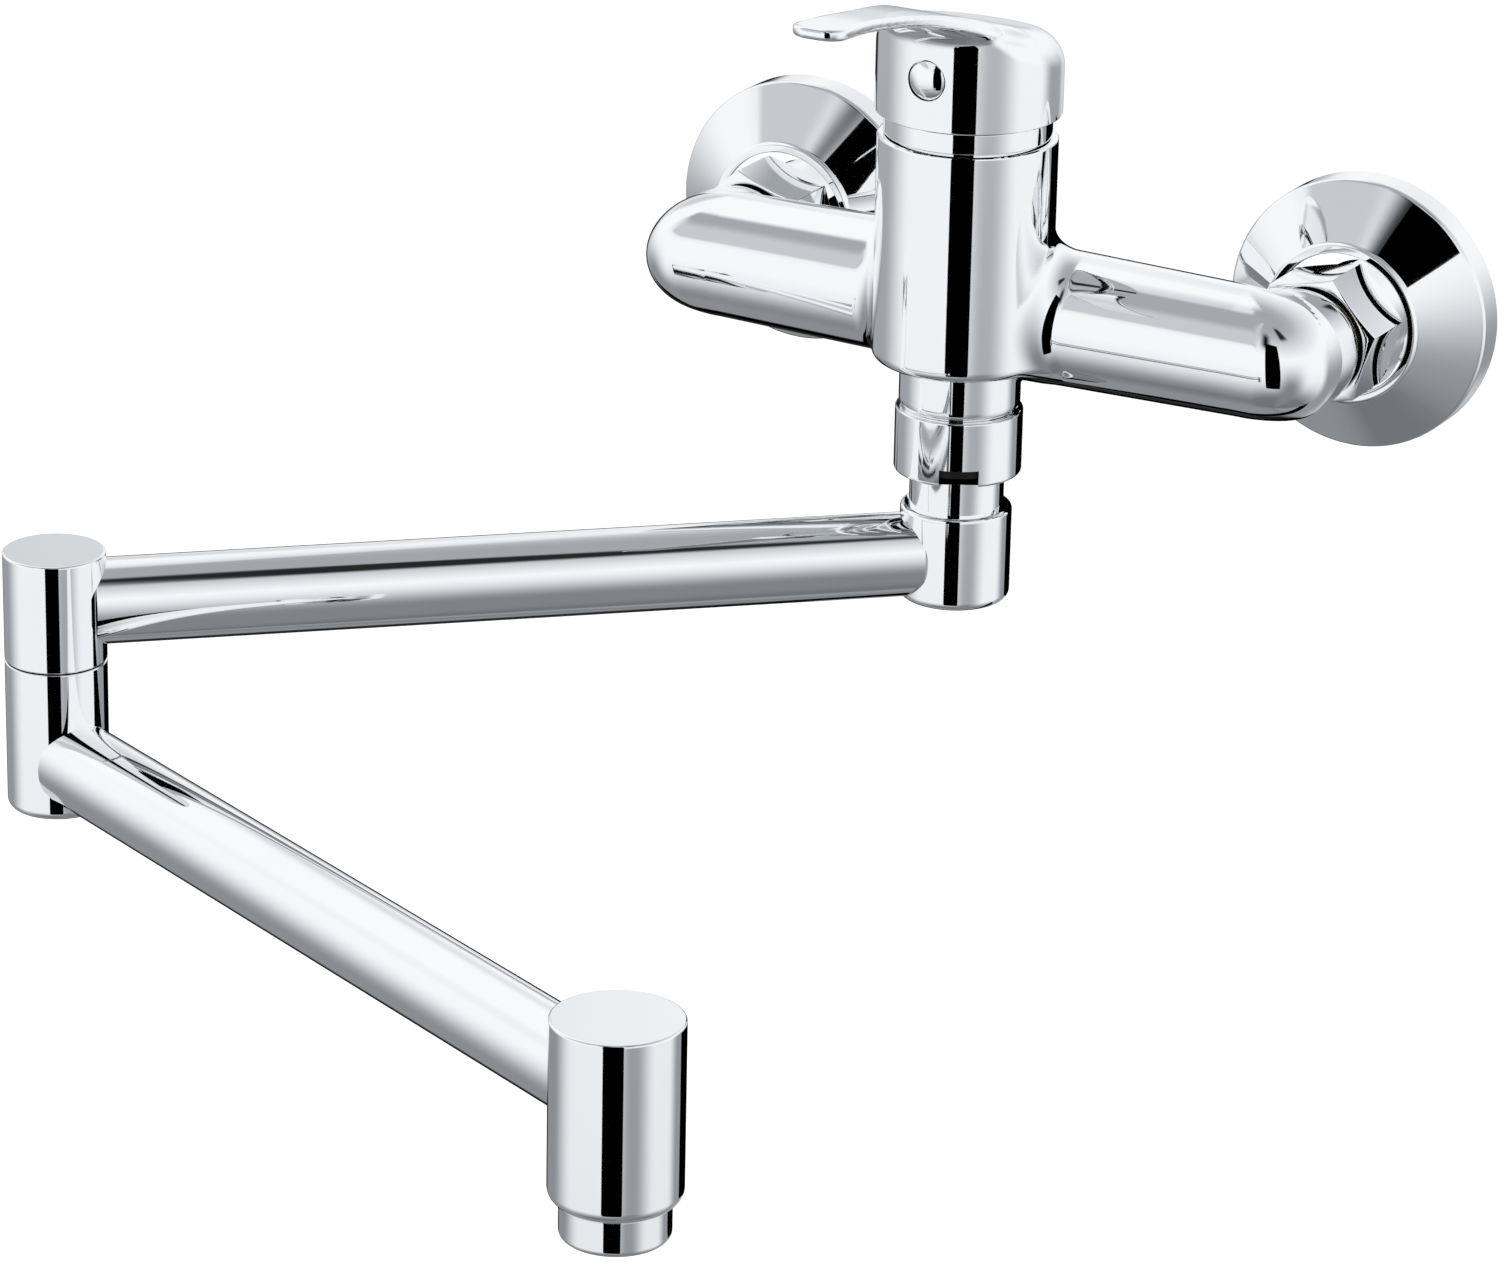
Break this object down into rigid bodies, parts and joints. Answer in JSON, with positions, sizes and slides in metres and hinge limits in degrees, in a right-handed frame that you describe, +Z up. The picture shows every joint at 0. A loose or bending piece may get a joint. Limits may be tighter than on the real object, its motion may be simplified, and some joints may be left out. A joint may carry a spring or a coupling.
{
  "type": "wall mounted pot filler",
  "caption": "Wall mounted pot filler: single lever mixer on wall inlets with covers, and a folding tubular spout with a cylindrical aerator head, in polished chrome.",
  "frame": {"origin": "on the finished wall, midway between the axes of the two inlets", "axes": "+X to the right seen from the room, +Y into the wall, +Z up"},
  "size_m": [0.2776, 0.3272, 0.2149],
  "materials": {
    "polished_chrome": "polished",
    "turned_brass": "satin",
    "spring_steel": "satin",
    "black_rubber": "matte",
    "white_polymer": "matte",
    "black_polymer": "gloss",
    "white_ceramic": "satin"
  },
  "bodies": {
    "wall_body": {"valve_body": "polished_chrome", "rose_left": "polished_chrome", "rose_right": "polished_chrome", "union_nut_left": "polished_chrome", "union_nut_right": "polished_chrome", "inlet_tail_left": "turned_brass", "inlet_tail_right": "turned_brass", "union_washer_left": "black_rubber", "union_washer_right": "black_rubber", "eccentric_union_left": "polished_chrome", "eccentric_union_right": "polished_chrome", "cartridge_seal": "black_rubber", "cartridge_base": "white_polymer", "fixed_ceramic_disc": "white_ceramic", "cartridge_housing": "white_polymer", "cartridge_nut": "turned_brass", "trim_ring": "polished_chrome", "swivel_nut": "polished_chrome", "slide_ring": "black_polymer"},
    "carrier": {"cartridge_carrier": "white_polymer", "pivot_pin": "spring_steel"},
    "mixing_disc": {"moving_ceramic_disc": "white_ceramic"},
    "handle": {"lever_handle": "polished_chrome", "index_button": "polished_chrome", "set_screw": "spring_steel", "cartridge_spindle": "turned_brass"},
    "inner_arm": {"spout_stem": "polished_chrome", "stem_o_ring_upper": "black_rubber", "stem_o_ring_lower": "black_rubber", "pivot_body": "polished_chrome", "inner_tube": "polished_chrome", "elbow_upper": "polished_chrome"},
    "outer_arm": {"elbow_lower": "polished_chrome", "elbow_o_ring_upper": "black_rubber", "elbow_o_ring_lower": "black_rubber", "elbow_snap_ring": "spring_steel", "outer_tube": "polished_chrome", "head_body": "polished_chrome", "aerator_housing": "polished_chrome", "aerator_core": "white_polymer", "aerator_washer": "black_rubber"}
  },
  "joints": [
    {"name": "spout_swivel", "type": "hinge", "parent": "wall_body", "child": "inner_arm", "pos_m": [0, -0.0642, 0], "axis": [0, 0, 1], "range_deg": [-52, 148]},
    {"name": "elbow_fold", "type": "hinge", "parent": "inner_arm", "child": "outer_arm", "pos_m": [-0.15834, -0.20667, 0], "axis": [0, 0, 1], "continuous": true},
    {"name": "handle_turn", "type": "hinge", "parent": "wall_body", "child": "carrier", "pos_m": [0, -0.0642, 0], "axis": [0, 0, 1], "range_deg": [-45, 45]},
    {"name": "handle_lift", "type": "hinge", "parent": "carrier", "child": "handle", "pos_m": [0, -0.0642, 0.04], "axis": [-1, 0, 0], "range_deg": [0, 25]},
    {"name": "disc_slide", "type": "slide", "parent": "carrier", "child": "mixing_disc", "axis": [0, -1, 0], "range_m": [0, 0.0075]}
  ],
  "couplings": [
    {"joint": "disc_slide", "follows": "handle_lift", "m_per_rad": 0.01687}
  ]
}
